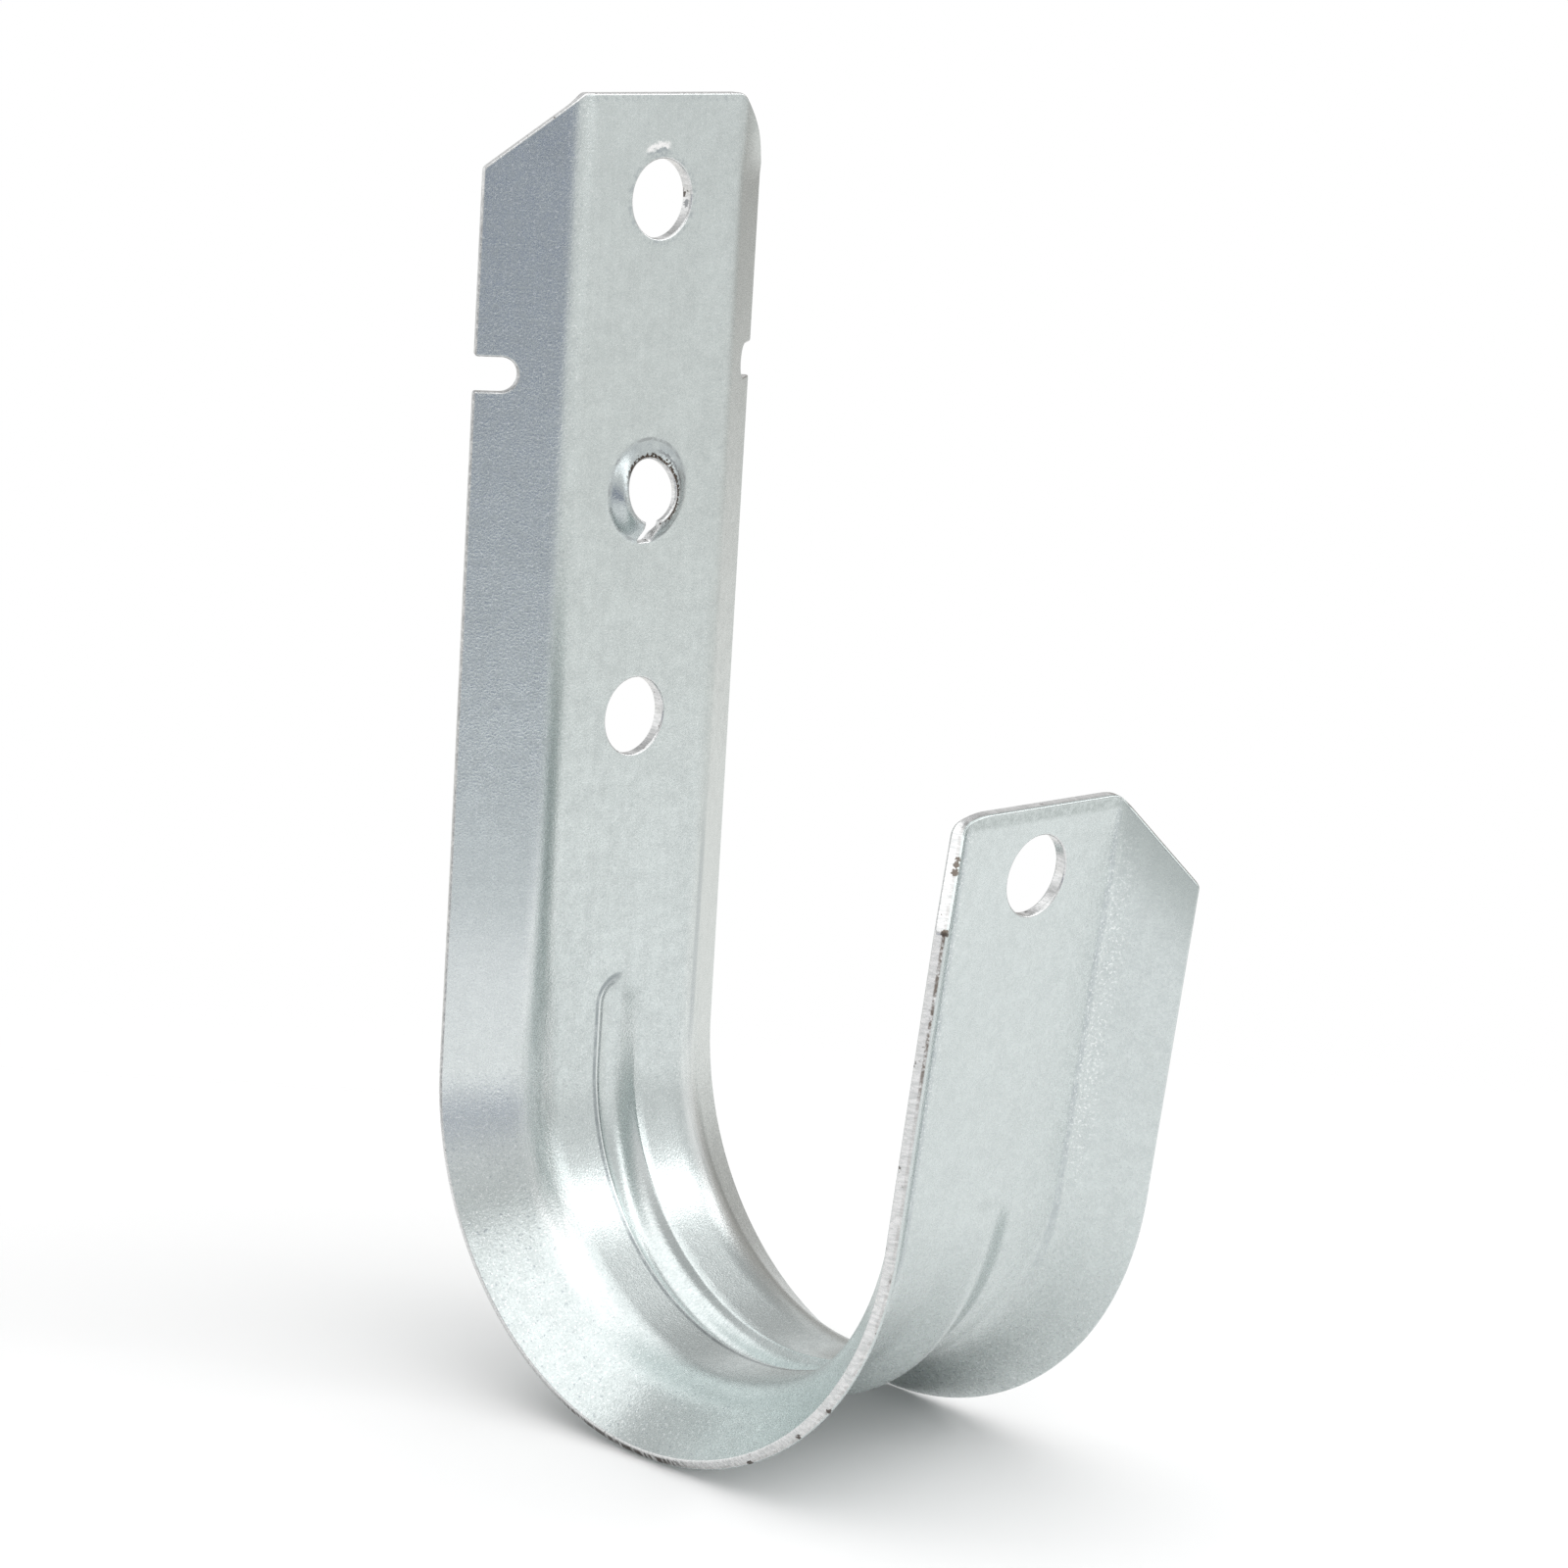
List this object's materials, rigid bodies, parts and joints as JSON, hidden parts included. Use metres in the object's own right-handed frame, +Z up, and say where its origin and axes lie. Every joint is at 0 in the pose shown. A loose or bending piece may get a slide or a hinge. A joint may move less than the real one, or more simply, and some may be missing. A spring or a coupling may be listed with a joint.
{
  "type": "j hook cable support",
  "caption": "Zinc-coated sheet steel J hook: a flared channel strip with clearance holes, a raised screw impression and a stiffening bead, carries a bundle of cables.",
  "frame": {"origin": "midway between the two fixing holes, on the back face of the stem", "axes": "+Z up along the stem, +Y out of the back of the stem towards what it is fixed to, +X across the strip; the lip stands on the -Y side"},
  "size_m": [0.034, 0.0603, 0.1173],
  "materials": {
    "zinc_steel": "matt zinc-coated sheet"
  },
  "bodies": {
    "root": {"j_hook": "zinc_steel"}
  },
  "joints": []
}
